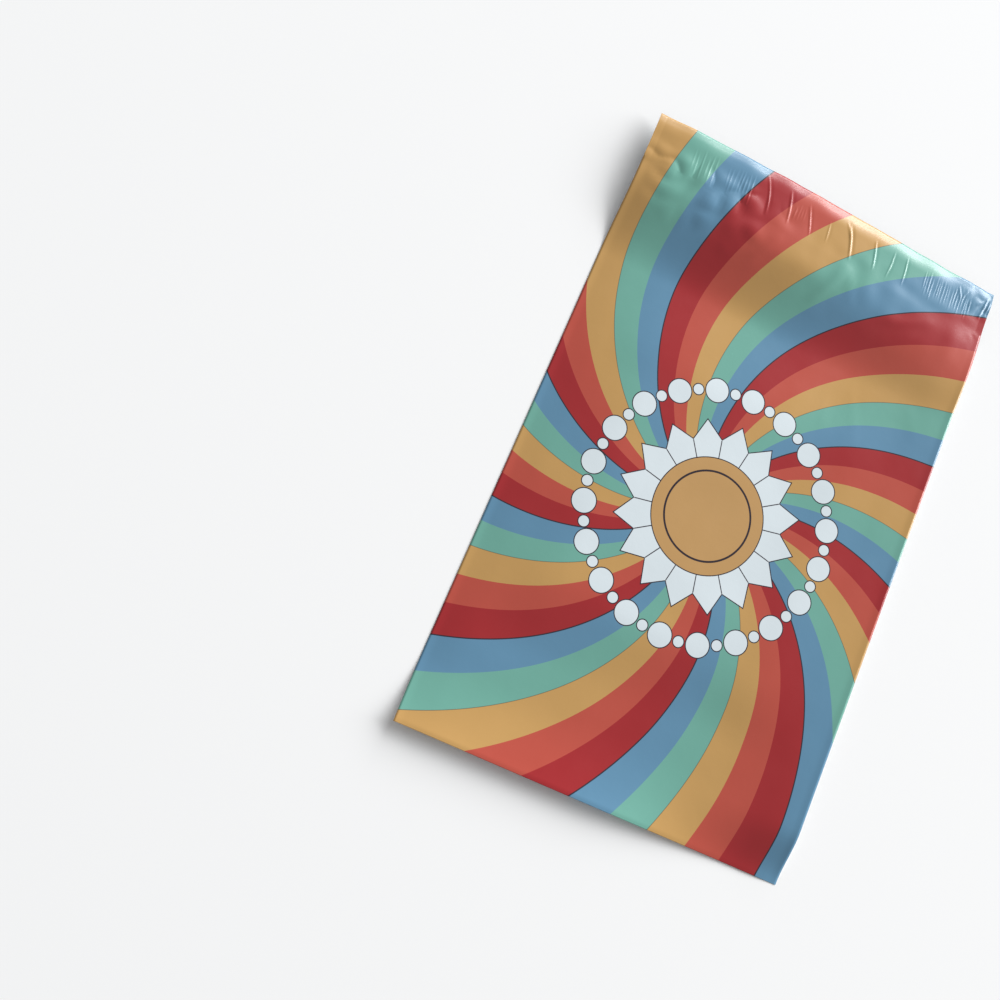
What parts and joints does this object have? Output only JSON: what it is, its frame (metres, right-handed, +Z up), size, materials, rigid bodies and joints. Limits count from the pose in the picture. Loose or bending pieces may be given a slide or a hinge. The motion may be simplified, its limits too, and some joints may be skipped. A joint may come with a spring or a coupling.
{
  "type": "poly mailer bag",
  "caption": "Empty printed film mailing bag lying flat: folded bottom, welded sides, open flap with an adhesive strip under a peel-off liner.",
  "frame": {"origin": "on the surface the bag lies on, under the middle of its outline", "axes": "+X across the bag to the right of the printed face, +Y from the bottom fold to the flap's edge, +Z up through the printed face"},
  "size_m": [0.28, 0.45, 0.0119],
  "materials": {
    "printed_film": "satin polyethylene film, printed in five colours outside, plain white behind and grey inside",
    "adhesive": "clear, slightly yellow hot-melt adhesive",
    "liner": "translucent release film"
  },
  "bodies": {
    "root": {"film_pouch": "printed_film", "adhesive_strip": "adhesive", "release_liner": "liner"}
  },
  "joints": []
}
